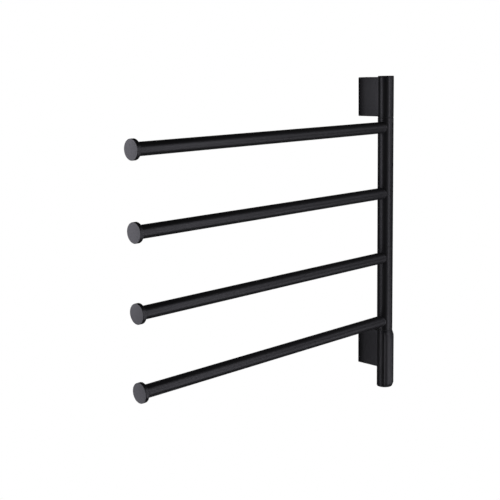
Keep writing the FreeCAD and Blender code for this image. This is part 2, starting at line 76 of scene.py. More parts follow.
# Lengths are in metres. Angles are in degrees, and a turn is an angle in radians.
# UP runs along the post, and OUT along the arms at rest.
UP = Vector((0.0, 0.0, 1.0))
OUT = Vector((-1.0, 0.0, 0.0))
POST_FOOT = Vector(frame["joints"][0]["pos_m"])
ARM_COUNT = 4
RAIL_MIDDLE: Spot = (-0.25, -0.03, 0.18)
SHARP_ANGLE = 38.0
QUARTER = 90.0
RIM_STEPS = 8
ROUND_SIDES = 96
ROUND_TURNS = [2 * math.pi * i / ROUND_SIDES for i in range(ROUND_SIDES)]
UNIT: Pair = (0.0, 1.0)
BLACK: Colour = (0.0, 0.0, 0.0)
WHITE: Colour = (1.0, 1.0, 1.0)
COAT_BLACK: Colour = (0.012, 0.012, 0.0126)
COAT_ROUGHNESS = 0.4


class Axis(IntEnum):
    """Axes of the frame that sizes are read along: the arms' at rest, and the post's."""

    ARM = 0
    POST = 2


class Body(str, Enum):
    """Bodies of the rail: what stays on the wall and what swings."""

    WALL = "wall_frame"
    SWIVEL = "swivel_post"


class Slot(str, Enum):
    """Finish slots of the record."""

    COAT = "black_coat"
    COVER = "cover_plastic"
    PIVOT = "pivot_steel"
    PLATE = "plate_steel"
    SCREW = "screw_steel"
    BUSH = "bush_plastic"
    CARRIER = "carrier_plastic"
    BOARD = "board_laminate"
    RUBBER = "soft_rubber"
    TERMINAL = "terminal_plastic"
    LEAD = "lead_sheath"
    HEATER = "heater_sheath"
    CLIP = "clip_steel"


class Operation(str, Enum):
    """What a node can work out from two values."""

    ADD = "ADD"
    MULTIPLY = "MULTIPLY"
    MAXIMUM = "MAXIMUM"
    GREATER_THAN = "GREATER_THAN"


class Gauge:
    """Reads sizes off the CAD nodes."""

    @staticmethod
    def span(node: str, axis: Axis) -> Pair:
        """Lowest and highest coordinate of a node along one axis."""
        low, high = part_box(node)
        return low[axis], high[axis]

    @staticmethod
    def middle(node: str, axis: Axis) -> float:
        """Middle of a node along one axis."""
        return sum(Gauge.span(node, axis)) / 2

    @staticmethod
    def radii(node: str, foot: Vector, along: Vector) -> Pair:
        """Measure how near to a line a node comes, and how far from it.

        Args:
            node: name of the CAD node.
            foot: a point of the line.
            along: unit vector along the line.

        Returns:
            The least and the greatest distance of the node's points from the line.
        """
        points = frame["nodes"][node].data.vertices
        away = [(point.co - foot).cross(along).length for point in points]
        return min(away), max(away)


def shade(colour: Colour, gain: float) -> Colour:
    """The same colour, lighter or darker."""
    return tuple(min(1.0, channel * gain) for channel in colour)


def opaque(colour: Colour) -> tuple[float, float, float, float]:
    """A colour as a node's socket holds it."""
    return (*colour, 1.0)


def put(name: str, data: bpy.types.ID) -> bpy.types.Object:
    """Put a new object into the scene.

    Args:
        name: name of the object.
        data: its mesh, lamp or camera.

    Returns:
        The object.
    """
    made = bpy.data.objects.new(name, data)
    bpy.context.scene.collection.objects.link(made)
    return made


class NodeBoard:
    """Node tree, with short calls to add nodes and to link them."""

    def __init__(self, tree: bpy.types.NodeTree) -> None:
        """Work on a tree that is there already."""
        self.tree = tree

    def add(self, kind: str, *values: object, **inputs: object) -> bpy.types.Node:
        """Add a node and fill its inputs.

        Args:
            kind: Blender's name for the node.
            values: value or source socket for each of the first inputs, in their order.
            inputs: the same for inputs by name, with _ for a blank in the name.

        Returns:
            The new node.
        """
        node = self.tree.nodes.new(kind)
        for target, value in zip(node.inputs, values):
            self.feed(target, value)
        for name, value in inputs.items():
            self.feed(node.inputs[name.replace("_", " ")], value)
        return node

    def feed(self, target: Socket, value: object) -> None:
        """Link a source to a socket, or set the socket's own value.

        Args:
            target: the socket.
            value: a source socket to link, or the value to set.
        """
        if isinstance(value, Socket):
            self.tree.links.new(value, target)
        else:
            target.default_value = value

    def calc(self, operation: Operation, first: object, second: object) -> Socket:
        """Work out one number from two.

        Args:
            operation: what is done with them.
            first: value or source socket of the first number.
            second: the same for the second.

        Returns:
            The result.
        """
        node = self.add("ShaderNodeMath", first, second)
        node.operation = operation.value
        return node.outputs["Value"]

    def white_rays(self) -> Socket:
        """Sort out the rays that should meet the white background.

        Returns:
            A factor that is 1 for those rays and 0 for the others.
        """
        path = self.add("ShaderNodeLightPath")
        seen = path.outputs["Is Camera Ray"]
        for name in ("Is Glossy Ray", "Is Transmission Ray"):
            seen = self.calc(Operation.MAXIMUM, seen, path.outputs[name])
        return seen


class FinishBoard(NodeBoard):
    """Node tree of one material, with the patterns that the finishes share."""

    MIX_FACTOR = 0
    MIX_A = 6
    MIX_B = 7
    MIX_RESULT = 2

    def __init__(self, name: str) -> None:
        """Start a material with its own shader.

        Args:
            name: name of the material.
        """
        self.material = bpy.data.materials.new(name)
        self.material.use_nodes = True
        super().__init__(self.material.node_tree)
        self.shader = self.tree.nodes["Principled BSDF"]
        self.place = self.add("ShaderNodeTexCoord").outputs["Object"]

    def noise(self, size: float, detail: float = 2.0, stretch: Spot = (1.0, 1.0, 1.0)) -> Socket:
        """Lay a soft random pattern.

        Args:
            size: length of one wave.
            detail: number of finer waves on top.
            stretch: how much longer a wave is along X, Y and Z.

        Returns:
            The pattern, from 0 to 1.
        """
        scale = Vector([1 / longer for longer in stretch])
        place = self.add("ShaderNodeMapping", Vector=self.place, Scale=scale).outputs["Vector"]
        return self.add("ShaderNodeTexNoise", Vector=place, Scale=1 / size, Detail=detail).outputs["Fac"]

    def spread(self, source: Socket, before: Pair, after: Pair) -> Socket:
        """Carry one range of values over to another.

        Args:
            source: the values.
            before: the range that they are taken from.
            after: the range that they are carried to.

        Returns:
            The values in their new range.
        """
        node = self.add("ShaderNodeMapRange", source, *before, *after)
        return node.outputs["Result"]

    def mix(self, factor: Socket, first: Colour | Socket, second: Colour | Socket) -> Socket:
        """Blend two colours.

        Args:
            factor: how far the blend has gone over to the second colour.
            first: the colour where the factor is 0.
            second: the colour where the factor is 1.

        Returns:
            The blended colour.
        """
        node = self.add("ShaderNodeMix")
        node.data_type = "RGBA"
        self.feed(node.inputs[self.MIX_FACTOR], factor)
        for place, colour in ((self.MIX_A, first), (self.MIX_B, second)):
            self.feed(node.inputs[place], colour if isinstance(colour, Socket) else opaque(colour))
        return node.outputs[self.MIX_RESULT]

    def edges(self, reach: Pair) -> Socket:
        """Mask of the convex edges, from the mesh's own curvature."""
        bend = self.add("ShaderNodeNewGeometry").outputs["Pointiness"]
        return self.spread(bend, reach, UNIT)

    def bump(self, height: Socket, depth: float, under: Socket | None = None) -> Socket:
        """Raise a pattern as a relief.

        Args:
            height: the pattern.
            depth: height of the relief where the pattern is 1.
            under: another relief that this one lies on.

        Returns:
            The normal of the relief.
        """
        node = self.add("ShaderNodeBump", Height=height, Distance=depth)
        if under is not None:
            self.feed(node.inputs["Normal"], under)
        return node.outputs["Normal"]

    def paint(self, **inputs: object) -> None:
        """Set or link inputs of the shader, with _ for a blank in their names."""
        for name, value in inputs.items():
            self.feed(self.shader.inputs[name.replace("_", " ")], value)


@dataclass(frozen=True)
class Finish(ABC):
    """A finish that dresses pieces of one slot."""

    label: str
    slot: Slot
    colour: Colour
    roughness: float

    def material(self) -> bpy.types.Material:
        """Give the finish's material, which is made when it is first asked for.

        Returns:
            The material.
        """
        made = bpy.data.materials.get(self.label)
        if made is None:
            board = FinishBoard(self.label)
            self.lay(board)
            made = board.material
        return made

    @abstractmethod
    def lay(self, board: FinishBoard) -> None:
        """Lay the finish's nodes on a fresh board."""

    def tones(self, board: FinishBoard, factor: Socket, gains: Pair) -> Socket:
        """Colour that goes from one gain on the finish's own colour to another."""
        return board.mix(factor, shade(self.colour, gains[0]), shade(self.colour, gains[1]))

    def gloss(self, board: FinishBoard, pattern: Socket, reach: Pair, swing: Pair) -> Socket:
        """Roughness that swings about the finish's own over a pattern's reach."""
        return board.spread(pattern, reach, (self.roughness + swing[0], self.roughness + swing[1]))


@dataclass(frozen=True)
class PowderCoat(Finish):
    """Baked powder coat: satin, with a fine grain on a soft orange peel."""

    grain_size: float = 0.0005
    grain_detail: float = 3.0
    grain_depth: float = 0.000006
    peel_size: float = 0.003
    peel_detail: float = 1.0
    peel_depth: float = 0.000018
    cloud_size: float = 0.06
    cloud_detail: float = 3.0
    cloud_reach: Pair = (0.3, 0.7)
    cloud_gains: Pair = (0.9, 1.12)
    edge_reach: Pair = (0.53, 0.62)
    edge_gain: float = 1.9
    gloss_reach: Pair = (0.25, 0.75)
    gloss_swing: Pair = (-0.05, 0.06)

    def lay(self, board: FinishBoard) -> None:
        """Lay the coat: cloudy tone, paler edges where it draws thin, grain and peel.

        Args:
            board: the fresh board.
        """
        cloud = board.noise(self.cloud_size, self.cloud_detail)
        grain = board.noise(self.grain_size, self.grain_detail)
        tone = self.tones(board, board.spread(cloud, self.cloud_reach, UNIT), self.cloud_gains)
        worn = board.mix(board.edges(self.edge_reach), tone, shade(self.colour, self.edge_gain))
        rough = self.gloss(board, grain, self.gloss_reach, self.gloss_swing)
        peel = board.bump(board.noise(self.peel_size, self.peel_detail), self.peel_depth)
        board.paint(Base_Color=worn, Roughness=rough, Normal=board.bump(grain, self.grain_depth, peel))


@dataclass(frozen=True)
class WallShadedBracketCoat(PowderCoat):
    """The same coat on a bracket, with painted shade: it darkens and loses its sheen towards the wall."""

    # Painted shade: the Y span over which the coat darkens towards the wall, and the share of tone and sheen left
    # at the wall.
    dull_span: Pair = (-0.015, 0.0)
    dull_share: float = 0.08
    sheen: float = 0.5

    def lay(self, board: FinishBoard) -> None:
        """Lay the coat, then paint shade next to the wall: its tone and sheen fade over that stretch.

        Args:
            board: the fresh board.
        """
        super().lay(board)
        # Painted shade: the base colour fades towards black and the specular level towards a small share over the
        # last stretch before the wall.
        depth = board.add("ShaderNodeSeparateXYZ", board.place).outputs["Y"]
        share = board.spread(depth, self.dull_span, (1.0, self.dull_share))
        tone = board.shader.inputs["Base Color"].links[0].from_socket
        sheen = board.spread(share, UNIT, (0.0, self.sheen))
        board.paint(Base_Color=board.mix(share, BLACK, tone), Specular_IOR_Level=sheen)


@dataclass(frozen=True)
class Moulding(Finish):
    """Moulded plastic with a fine eroded grain."""

    grain_size: float = 0.0007
    grain_depth: float = 0.000008
    flow_size: float = 0.03
    flow_detail: float = 2.0
    flow_stretch: Spot = (1.0, 1.0, 3.0)
    flow_gains: Pair = (0.92, 1.1)
    gloss_reach: Pair = (0.3, 0.7)
    gloss_swing: Pair = (-0.04, 0.04)

    def lay(self, board: FinishBoard) -> None:
        """Lay the plastic: slow flow marks in tone and gloss, and the grain of the mould.

        Args:
            board: the fresh board.
        """
        flow = board.noise(self.flow_size, self.flow_detail, self.flow_stretch)
        grain = board.noise(self.grain_size)
        tone = self.tones(board, flow, self.flow_gains)
        rough = self.gloss(board, flow, self.gloss_reach, self.gloss_swing)
        board.paint(Base_Color=tone, Roughness=rough, Normal=board.bump(grain, self.grain_depth))


@dataclass(frozen=True)
class BareMetal(Finish):
    """Uncoated metal with the marks of how it was made."""

    mark_size: float = 0.0004
    mark_detail: float = 3.0
    mark_stretch: Spot = (1.0, 1.0, 30.0)
    mark_depth: float = 0.000004
    stain_size: float = 0.012
    stain_detail: float = 4.0
    stain_gains: Pair = (0.85, 1.08)
    gloss_reach: Pair = (0.3, 0.7)
    gloss_swing: Pair = (-0.07, 0.09)

    def lay(self, board: FinishBoard) -> None:
        """Lay the metal: drawn or turned marks in gloss and relief, and faint stains in tone.

        Args:
            board: the fresh board.
        """
        marks = board.noise(self.mark_size, self.mark_detail, self.mark_stretch)
        stain = board.noise(self.stain_size, self.stain_detail)
        tone = self.tones(board, stain, self.stain_gains)
        rough = self.gloss(board, marks, self.gloss_reach, self.gloss_swing)
        relief = board.bump(marks, self.mark_depth)
        board.paint(Base_Color=tone, Roughness=rough, Metallic=1.0, Normal=relief)


@dataclass(frozen=True)
class Laminate(Finish):
    """Circuit laminate with lighter tracks under its lacquer."""

    track_size: float = 0.003
    track_reach: Pair = (0.35, 0.45)
    track_gains: Pair = (1.0, 1.8)
    track_depth: float = 0.00003
    gloss_swing: Pair = (0.0, 0.1)

    def lay(self, board: FinishBoard) -> None:
        """Lay the laminate: lacquer tone and a maze of tracks.

        Args:
            board: the fresh board.
        """
        cells = board.add("ShaderNodeTexVoronoi", Vector=board.place, Scale=1 / self.track_size)
        cells.distance = "MANHATTAN"
        tracks = board.spread(cells.outputs["Distance"], self.track_reach, UNIT)
        tone = self.tones(board, tracks, self.track_gains)
        rough = self.gloss(board, tracks, UNIT, self.gloss_swing)
        board.paint(Base_Color=tone, Roughness=rough, Normal=board.bump(tracks, self.track_depth))


@dataclass(frozen=True)
class Braid(Finish):
    """Heat-proof braided sleeve."""

    pick_size: float = 0.0012
    pick_depth: float = 0.0001
    lean: float = 45.0
    weave_reach: Pair = (0.0, 2.0)
    weave_gains: Pair = (0.6, 1.0)

    def lay(self, board: FinishBoard) -> None:
        """Lay the sleeve: two crossing sets of yarns, tinted and raised.

        Args:
            board: the fresh board.
        """
        weave = board.calc(Operation.ADD, self.yarns(board, self.lean), self.yarns(board, -self.lean))
        tone = self.tones(board, board.spread(weave, self.weave_reach, UNIT), self.weave_gains)
        relief = board.bump(weave, self.pick_depth)
        board.paint(Base_Color=tone, Roughness=self.roughness, Normal=relief)

    def yarns(self, board: FinishBoard, lean: float) -> Socket:
        """Lay one set of yarns.

        Args:
            board: the sleeve's board.
            lean: angle of the yarns.

        Returns:
            Their pattern, from 0 to 1.
        """
        leant = board.add("ShaderNodeMapping", Vector=board.place, Rotation=(0.0, 0.0, math.radians(lean)))
        place = leant.outputs["Vector"]
        return board.add("ShaderNodeTexWave", Vector=place, Scale=1 / self.pick_size).outputs["Fac"]


@dataclass(frozen=True)
class Finishes:
    """Every finish on the rail. The coat stands first for its slot."""

    coat: Finish = PowderCoat("satin_black_coat", Slot.COAT, COAT_BLACK, COAT_ROUGHNESS)
    # The bracket coat carries painted shade that darkens it towards the wall.
    bracket: Finish = WallShadedBracketCoat("satin_black_bracket_coat", Slot.COAT, COAT_BLACK, COAT_ROUGHNESS)
    cover: Finish = Moulding("satin_black_moulding", Slot.COVER, (0.03, 0.03, 0.0305), 0.45)
    pivot: Finish = BareMetal(
        "turned_steel", Slot.PIVOT, (0.55, 0.55, 0.56), 0.32, mark_stretch=(20.0, 20.0, 1.0)
    )
    plate: Finish = BareMetal("plated_steel", Slot.PLATE, (0.6, 0.6, 0.6), 0.38, stain_size=0.006)
    screw: Finish = BareMetal(
        "blackened_steel", Slot.SCREW, (0.1, 0.1, 0.105), 0.42, mark_stretch=(8.0, 8.0, 1.0)
    )
    bush: Finish = Moulding("bearing_plastic", Slot.BUSH, (0.03, 0.03, 0.031), 0.5)
    carrier: Finish = Moulding("white_moulding", Slot.CARRIER, (0.72, 0.72, 0.68), 0.5)
    board: Finish = Laminate("green_laminate", Slot.BOARD, (0.03, 0.2, 0.09), 0.35)
    rubber: Finish = Moulding(
        "soft_black_rubber", Slot.RUBBER, (0.03, 0.03, 0.03), 0.75, grain_depth=0.00002
    )
    terminal: Finish = Moulding("terminal_plastic_white", Slot.TERMINAL, (0.8, 0.8, 0.76), 0.45)
    lead: Finish = Braid("braided_sleeve", Slot.LEAD, (0.5, 0.12, 0.08), 0.8)
    heater: Finish = BareMetal(
        "drawn_sheath", Slot.HEATER, (0.5, 0.5, 0.5), 0.36, mark_stretch=(30.0, 1.0, 1.0)
    )
    clip: Finish = BareMetal("spring_steel", Slot.CLIP, (0.65, 0.65, 0.66), 0.3)

    def of_slot(self, slot: Slot) -> Finish:
        """The first finish that a slot of the record has."""
        return next(finish for finish in vars(self).values() if finish.slot is slot)


FINISHES = Finishes()


def arc(centre: Pair, radius: float, start: float, end: float, steps: int = RIM_STEPS) -> list[Pair]:
    """Points along a circular arc.

    Args:
        centre: middle of the circle.
        radius: its radius.
        start: first angle, from the first axis towards the second.
        end: last angle.
        steps: number of stretches.

    Returns:
        The points, ends included.
    """
    turns = [math.radians(start + (end - start) * i / steps) for i in range(steps + 1)]
    return [(centre[0] + radius * math.cos(turn), centre[1] + radius * math.sin(turn)) for turn in turns]


def back_rim(radius: float, distance: float, edge: float, steps: int = RIM_STEPS) -> list[Pair]:
    """Rounded outer edge where a turned profile starts."""
    return arc((radius - edge, distance + edge), edge, -QUARTER, 0.0, steps)


def front_rim(radius: float, distance: float, edge: float, steps: int = RIM_STEPS) -> list[Pair]:
    """Rounded outer edge where a turned profile ends."""
    return arc((radius - edge, distance - edge), edge, 0.0, QUARTER, steps)


def steady(length: float) -> Reach:
    """A reach that is the same at every place."""
    return lambda _: length


@dataclass
class Skin:
    """Points and faces of one piece while its mesh is laid out."""

    points: list[Vector] = field(default_factory=list)
    faces: list[tuple[int, ...]] = field(default_factory=list)
    holes: list["Skin"] = field(default_factory=list)

    def row(self, points: Iterable[Vector]) -> list[int]:
        """Add a row of points.

        Args:
            points: the points in their order.

        Returns:
            Their places among the skin's points.
        """
        start = len(self.points)
        self.points.extend(points)
        return list(range(start, len(self.points)))

    def bridge(self, first: Sequence[int], second: Sequence[int], closed: bool = True) -> None:
        """Join two rows of the same length by four-sided faces.

        Args:
            first: places of one row's points.
            second: places of the other row's points.
            closed: True where the rows run all the way round.
        """
        count = len(first)
        for i in range(count if closed else count - 1):
            j = (i + 1) % count
            self.faces.append((first[i], first[j], second[j], second[i]))

    def chain(self, rows: Sequence[Sequence[int]], looped: bool = False, closed: bool = True) -> None:
        """Bridge rows one after another.

        Args:
            rows: the rows in their order.
            looped: True to bridge the last row back to the first.
            closed: True where the rows run all the way round.
        """
        for first, second in zip(rows, rows[1:]):
            self.bridge(first, second, closed)
        if looped:
            self.bridge(rows[-1], rows[0], closed)

    def lid(self, row: Sequence[int]) -> None:
        """Close a row by one flat face."""
        self.faces.append(tuple(row))

    def mesh(self, name: str) -> bpy.types.Mesh:
        """Make the mesh of the layout, with its faces turned outwards and its holes cut.

        Args:
            name: name of the mesh.

        Returns:
            The mesh.
        """
        mesh = bpy.data.meshes.new(name)
        mesh.from_pydata(self.points, [], self.faces)
        shaped = bmesh.new()
        shaped.from_mesh(mesh)
        bmesh.ops.recalc_face_normals(shaped, faces=shaped.faces)
        shaped.to_mesh(mesh)
        shaped.free()
        for hole in self.holes:
            mesh = self.pierced(mesh, hole.mesh(f"{name}_hole"))
        return mesh

    @staticmethod
    def pierced(mesh: bpy.types.Mesh, tool: bpy.types.Mesh) -> bpy.types.Mesh:
        """Cut one mesh away from another.

        Args:
            mesh: what is cut.
            tool: what is taken away.

        Returns:
            The cut mesh.
        """
        held, taken = (put(part.name, part) for part in (mesh, tool))
        cut = held.modifiers.new(tool.name, "BOOLEAN")
        cut.object = taken
        cut.solver = "EXACT"
        graph = bpy.context.evaluated_depsgraph_get()
        result = bpy.data.meshes.new_from_object(held.evaluated_get(graph))
        for made in (held, taken):
            bpy.data.objects.remove(made)
        for part in (mesh, tool):
            bpy.data.meshes.remove(part)
        return result

    def piece(self, name: str, finish: Finish, body: Body, *nodes: str) -> None:
        """Turn the layout into a dressed piece of the rail.

        Args:
            name: name of the piece.
            finish: what it is coated with or made of.
            body: the body that it moves with.
            nodes: CAD nodes that it stands for.
        """
        mesh = self.mesh(name)
        mesh.shade_smooth()
        mesh.set_sharp_from_angle(angle=math.radians(SHARP_ANGLE))
        mesh.materials.append(finish.material())
        made = put(name, mesh)
        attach(made, body.value)
        if nodes:
            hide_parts(*nodes)
        LOG.info("%s: %d faces on %s", name, len(mesh.polygons), body.value)


def turned(profile: Sequence[Pair], foot: Vector, along: Vector, hollow: bool) -> Skin:
    """Turn a profile round an axis.

    Args:
        profile: (radius, distance along the axis) of each row.
        foot: where the axis starts.
        along: unit vector along the axis.
        hollow: True for a ring, whose profile is a loop, and False for a body that flat lids close.

    Returns:
        The skin of the turned piece.
    """
    side = along.orthogonal().normalized()
    other = along.cross(side)
    spokes = [side * math.cos(turn) + other * math.sin(turn) for turn in ROUND_TURNS]
    skin = Skin()
    rows = []
    for radius, distance in profile:
        rows.append(skin.row(foot + along * distance + spoke * radius for spoke in spokes))
    skin.chain(rows, looped=hollow)
    if not hollow:
        skin.lid(rows[0])
        skin.lid(rows[-1])
    return skin


def tube_profile(bore: float, outer: float, ends: Pair, edge: float) -> list[Pair]:
    """Profile of a tube with rounded outer edges.

    Args:
        bore: radius of the bore.
        outer: radius of the outside.
        ends: where the tube starts and ends along its axis.
        edge: radius of the edges.

    Returns:
        (radius, distance along the axis) of each row.
    """
    start, end = ends
    return [(bore, start), *back_rim(outer, start, edge), *front_rim(outer, end, edge), (bore, end)]


@dataclass
class SwivelPost:
    """The length of the post that turns and carries the arms."""

    node: str = "post_tube"
    edge: float = 0.0004
    radius: float = field(init=False)
    bore: float = field(init=False)

    def __post_init__(self) -> None:
        """Measure the tube."""
        self.bore, self.radius = Gauge.radii(self.node, POST_FOOT, UP)

    def build(self) -> None:
        """Build the tube with its edges broken at the swivel joints."""
        profile = tube_profile(self.bore, self.radius, Gauge.span(self.node, Axis.POST), self.edge)
        skin = turned(profile, POST_FOOT, UP, hollow=True)
        skin.piece("swivel_post_tube", FINISHES.coat, Body.SWIVEL, self.node)


@dataclass
class FixedPostEnd:
    """A length of the post that stays with its wall bracket, and the cap that closes it."""

    tube_node: str
    cap_node: str
    cap_direction: Vector
    post_radius: float
    edge: float = 0.0004
    cap_seat_edge: float = 0.0002
    cap_seat_steps: int = 4
    cap_round: float = 0.001
    cap_gap: float = 0.00008
    bore: float = field(init=False)

    def __post_init__(self) -> None:
        """Measure the tube's bore."""
        self.bore, _ = Gauge.radii(self.tube_node, POST_FOOT, UP)

    def build(self) -> None:
        """Build the tube and its cap."""
        self.build_tube()
        self.build_cap()

    def build_tube(self) -> None:
        """Build the tube."""
        ends = Gauge.span(self.tube_node, Axis.POST)
        profile = tube_profile(self.bore, self.post_radius, ends, self.edge)
        skin = turned(profile, POST_FOOT, UP, hollow=True)
        skin.piece(f"{self.tube_node}_tube", FINISHES.coat, Body.WALL, self.tube_node)

    def build_cap(self) -> None:
        """Build the cap: a spigot in the tube and a flush head with a rounded rim."""
        way = self.cap_direction.z
        tube_end = max(way * z for z in Gauge.span(self.tube_node, Axis.POST))
        back, front = sorted(way * z - tube_end for z in Gauge.span(self.cap_node, Axis.POST))
        spigot = self.bore - self.cap_gap
        profile = [
            (spigot, back),
            (spigot, self.cap_gap),
            *back_rim(self.post_radius, self.cap_gap, self.cap_seat_edge, self.cap_seat_steps),
            *front_rim(self.post_radius, front, self.cap_round),
        ]
        foot = Vector((POST_FOOT.x, POST_FOOT.y, way * tube_end))
        skin = turned(profile, foot, self.cap_direction, hollow=False)
        skin.piece(f"{self.cap_node}_turned", FINISHES.coat, Body.WALL, self.cap_node)


@dataclass
class TowelArm:
    """One arm: a tube coped onto the post, its weld and its end cap."""

    number: int
    post_radius: float
    weld_gap: float = 0.00005
    weld_leg: float = 0.0006
    weld_steps: int = 6
    end_edge: float = 0.0003
    end_steps: int = 4
    cap_rim: float = 0.0005
    cap_back: float = 0.0004
    cap_gap: float = 0.00005
    foot: Vector = field(init=False)
    bore: float = field(init=False)
    radius: float = field(init=False)
    seat: float = field(init=False)

    def __post_init__(self) -> None:
        """Measure the arm's tube."""
        self.foot = Vector((POST_FOOT.x, POST_FOOT.y, Gauge.middle(self.node, Axis.POST)))
        self.bore, self.radius = Gauge.radii(self.node, self.foot, OUT)
        self.seat = -Gauge.span(self.node, Axis.ARM)[0]

    @property
    def node(self) -> str:
        """Name of the arm's CAD node."""
        return f"arm_{self.number}"

    @property
    def cap_node(self) -> str:
        """Name of the cap's CAD node."""
        return f"arm_cap_{self.number}"

    def build(self) -> None:
        """Build tube, weld and cap."""
        self.build_tube()
        self.build_weld()
        self.build_cap()

    def around(self, radius: float, reach: Reach) -> list[Vector]:
        """Closed row of points round the arm.

        Args:
            radius: distance from the arm's axis.
            reach: distance from the post's axis, for a point that lies so far across it.

        Returns:
            The points.
        """
        points = []
        for turn in ROUND_TURNS:
            across = radius * math.cos(turn)
            points.append(self.foot + OUT * reach(across) + Vector((0.0, across, radius * math.sin(turn))))
        return points

    def saddle(self, across: float) -> float:
        """Distance from the post's axis to its surface along the arm, so far across it."""
        return math.sqrt((self.post_radius + self.weld_gap) ** 2 - across ** 2)

    def build_tube(self) -> None:
        """Build the tube between the saddle cut and the cap."""
        skin = Skin()
        rows = [skin.row(self.around(self.radius, self.saddle))]
        for radius, distance in front_rim(self.radius, self.seat, self.end_edge, self.end_steps):
            rows.append(skin.row(self.around(radius, steady(distance))))
        rows.append(skin.row(self.around(self.bore, steady(self.seat))))
        rows.append(skin.row(self.around(self.bore, self.saddle)))
        skin.chain(rows, looped=True)
        skin.piece(f"{self.node}_tube", FINISHES.coat, Body.SWIVEL, self.node)

    def build_weld(self) -> None:
        """Build the small hollow-faced weld between arm and post."""
        skin = Skin()
        corner = self.around(self.radius, self.saddle)
        on_arm = [point + OUT * self.weld_leg for point in corner]
        on_post = self.around(self.radius + self.weld_leg, self.saddle)
        rows = [skin.row(corner)]
        for i in range(self.weld_steps + 1):
            done = i / self.weld_steps
            left = 1 - done
            rows.append(skin.row(
                arm * left ** 2 + bend * (2 * done * left) + post * done ** 2
                for arm, bend, post in zip(on_arm, corner, on_post)
            ))
        skin.chain(rows, looped=True)
        skin.piece(f"{self.node}_weld", FINISHES.coat, Body.SWIVEL)

    def build_cap(self) -> None:
        """Build the end cap: a thick disc with lightly broken edges and a spigot in the tube."""
        _, radius = Gauge.radii(self.cap_node, self.foot, OUT)
        front, back = (-x - self.seat for x in Gauge.span(self.cap_node, Axis.ARM))
        spigot = self.bore - self.cap_gap
        profile = [
            (spigot, back),
            (spigot, self.cap_gap),
            *back_rim(radius, self.cap_gap, self.cap_back),
            *front_rim(radius, front, self.cap_rim),
        ]
        skin = turned(profile, self.foot + OUT * self.seat, OUT, hollow=False)
        skin.piece(f"{self.node}_end_cap", FINISHES.coat, Body.SWIVEL, self.cap_node)


@dataclass
class WallBracket:
    """Rectangular sleeve between wall plate and post."""

    node: str
    post_radius: float
    wall: float = 0.002
    corner: float = 0.0012
    inner_corner: float = 0.0004
    wall_edge: float = 0.0008
    weld_gap: float = 0.00005
    screw_node: str = "grub_screws"
    screw_gap: float = 0.00005
    hole_spare: float = 0.001
    corner_steps: int = 5
    edge_steps: int = 16

    def build(self) -> None:
        """Build the sleeve with its rounded edges and its cope on the post."""
        low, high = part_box(self.node)
        size = (high.x - low.x, high.z - low.z)
        hollow = self.shrunk(size, self.wall)
        skin = Skin()
        rows = [skin.row(self.around(size, self.corner, self.cope))]
        bend = (self.wall_edge, high.y - self.wall_edge)
        for inset, y in arc(bend, self.wall_edge, 2 * QUARTER, QUARTER):
            rows.append(skin.row(self.around(self.shrunk(size, inset), self.corner - inset / 2, steady(y))))
        rows.append(skin.row(self.around(hollow, self.inner_corner, steady(high.y))))
        rows.append(skin.row(self.around(hollow, self.inner_corner, self.cope)))
        skin.chain(rows, looped=True)
        skin.holes.append(self.screw_hole())
        # The sleeve takes the coat with painted shade towards the wall.
        skin.piece(f"{self.node}_sleeve", FINISHES.bracket, Body.WALL, self.node)

    def screw_hole(self) -> Skin:
        """Lay out the hole under the sleeve for its grub screw.

        Returns:
            The skin of what is cut away.
        """
        low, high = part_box(self.node)
        points = frame["nodes"][self.screw_node].data.vertices
        screw = [point.co for point in points if low.z < point.co.z < high.z]
        across = [co.x for co in screw]
        depth = [co.y for co in screw]
        radius = (max(across) - min(across)) / 2 + self.screw_gap
        foot = Vector(((max(across) + min(across)) / 2, (max(depth) + min(depth)) / 2, low.z))
        profile = [(radius, -self.hole_spare), (radius, self.wall + self.hole_spare)]
        return turned(profile, foot, UP, hollow=False)

    @staticmethod
    def shrunk(size: Pair, inset: float) -> Pair:
        """Width and height, less an inset on every side."""
        return size[0] - 2 * inset, size[1] - 2 * inset

    def cope(self, x: float) -> float:
        """Y at which the sleeve meets the post."""
        return POST_FOOT.y + math.sqrt((self.post_radius + self.weld_gap) ** 2 - x ** 2)

    def around(self, size: Pair, corner: float, depth: Reach) -> list[Vector]:
        """Closed row of points round the sleeve.

        Args:
            size: its width and height there.
            corner: radius of its corners there.
            depth: Y of a point, for its X.

        Returns:
            The points.
        """
        middle = Gauge.middle(self.node, Axis.POST)
        return [Vector((x, depth(x), middle + z)) for x, z in self.outline(size, corner)]

    def outline(self, size: Pair, corner: float) -> list[Pair]:
        """Rounded rectangle across the sleeve.

        Args:
            size: its width and height.
            corner: radius of its corners.

        Returns:
            (X, height above the middle) of its points, always the same number of them.
        """
        half_w, half_h = size[0] / 2 - corner, size[1] / 2 - corner
        points = []
        for quarter, (sign_x, sign_z) in enumerate(((1, 1), (-1, 1), (-1, -1), (1, -1))):
            start = QUARTER * quarter
            centre = (sign_x * half_w, sign_z * half_h)
            bend = arc(centre, corner, start, start + QUARTER, self.corner_steps)
            points.extend(bend)
            if quarter % 2 == 0:
                x, z = bend[-1]
                step = -2 * x / self.edge_steps
                points.extend((x + step * i, z) for i in range(1, self.edge_steps))
        return points


